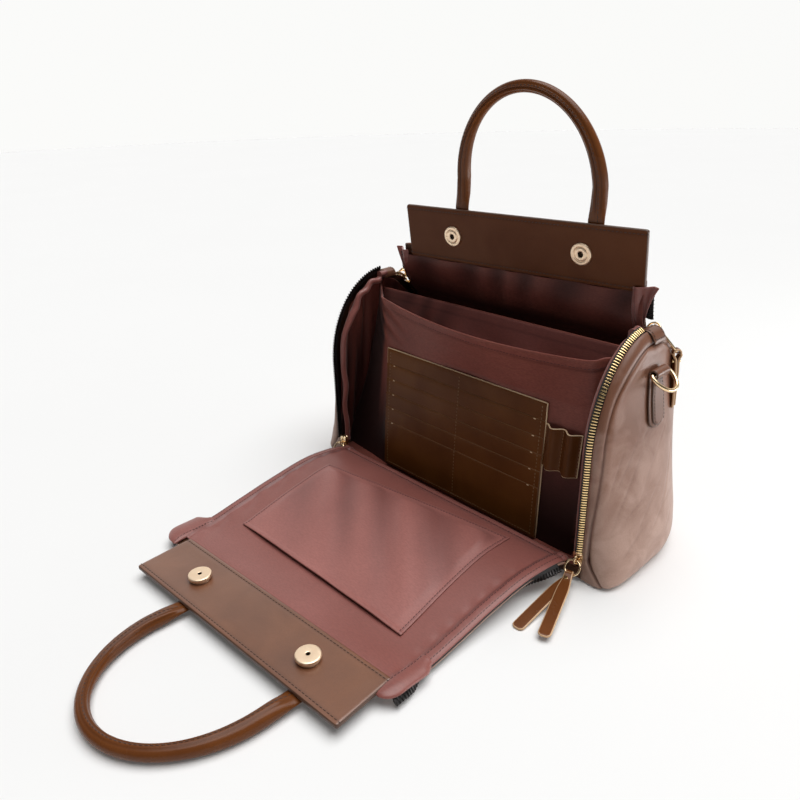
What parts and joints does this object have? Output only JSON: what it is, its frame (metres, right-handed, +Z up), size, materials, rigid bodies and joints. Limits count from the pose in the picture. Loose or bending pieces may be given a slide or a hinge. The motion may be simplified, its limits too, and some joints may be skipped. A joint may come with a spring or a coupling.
{
  "type": "shoulder bag",
  "caption": "Leather shoulder bag standing open: its unzipped front lies flat and its back stands, with rolled handles, arched sides, a divider pocket with card slots, snaps and strap rings.",
  "frame": {"origin": "middle of the base, on the flat underside that the bag stands on", "axes": "+X to the right as the open front is looked at, +Y to the back, +Z up"},
  "size_m": [0.3502, 0.4648, 0.3562],
  "materials": {
    "leather": "smooth semi-gloss",
    "dark_leather": "smooth semi-gloss",
    "lining": "satin",
    "zip_tape": "matt",
    "gold": "polished"
  },
  "bodies": {
    "bag": {"back_lining": "lining", "back_panel": "leather", "base": "leather", "base_lining": "lining", "card_panel": "dark_leather", "crown_tab_left": "leather", "crown_tab_right": "leather", "d_ring_tab_left": "leather", "d_ring_tab_right": "leather", "front_lining": "lining", "front_panel": "leather", "front_pocket": "lining", "gusset_left": "leather", "gusset_lining_left": "lining", "gusset_lining_right": "lining", "gusset_right": "leather", "handle_back": "leather", "handle_front": "leather", "pen_loops": "dark_leather", "pouch_back": "lining", "pouch_floor": "lining", "pouch_front": "lining", "pouch_left": "lining", "pouch_right": "lining", "pull_back_left": "leather", "pull_back_right": "leather", "pull_front_left": "leather", "pull_front_right": "leather", "pull_ring_back_left": "gold", "pull_ring_back_right": "gold", "pull_ring_front_left": "gold", "pull_ring_front_right": "gold", "slider_back_left": "gold", "slider_back_right": "gold", "slider_front_left": "gold", "slider_front_right": "gold", "snap_back_left": "gold", "snap_back_right": "gold", "snap_front_left": "gold", "snap_front_right": "gold", "top_strip_back": "dark_leather", "top_strip_front": "dark_leather", "zip_back_free_left": "zip_tape", "zip_back_free_right": "zip_tape", "zip_back_left": "zip_tape", "zip_back_right": "zip_tape", "zip_facing_left": "leather", "zip_facing_right": "leather", "zip_front_gusset_left": "zip_tape", "zip_front_gusset_right": "zip_tape", "zip_front_panel_left": "zip_tape", "zip_front_panel_right": "zip_tape"},
    "strap_ring_left": {"d_ring_left": "gold"},
    "strap_ring_right": {"d_ring_right": "gold"}
  },
  "joints": [
    {"name": "strap_ring_left_hinge", "type": "hinge", "parent": "bag", "child": "strap_ring_left", "pos_m": [-0.15868, -0.006, 0.1606], "axis": [0, -1, 0], "range_deg": [-128, 37]},
    {"name": "strap_ring_right_hinge", "type": "hinge", "parent": "bag", "child": "strap_ring_right", "pos_m": [0.15868, -0.006, 0.1606], "axis": [0, 1, 0], "range_deg": [-128, 37]}
  ]
}
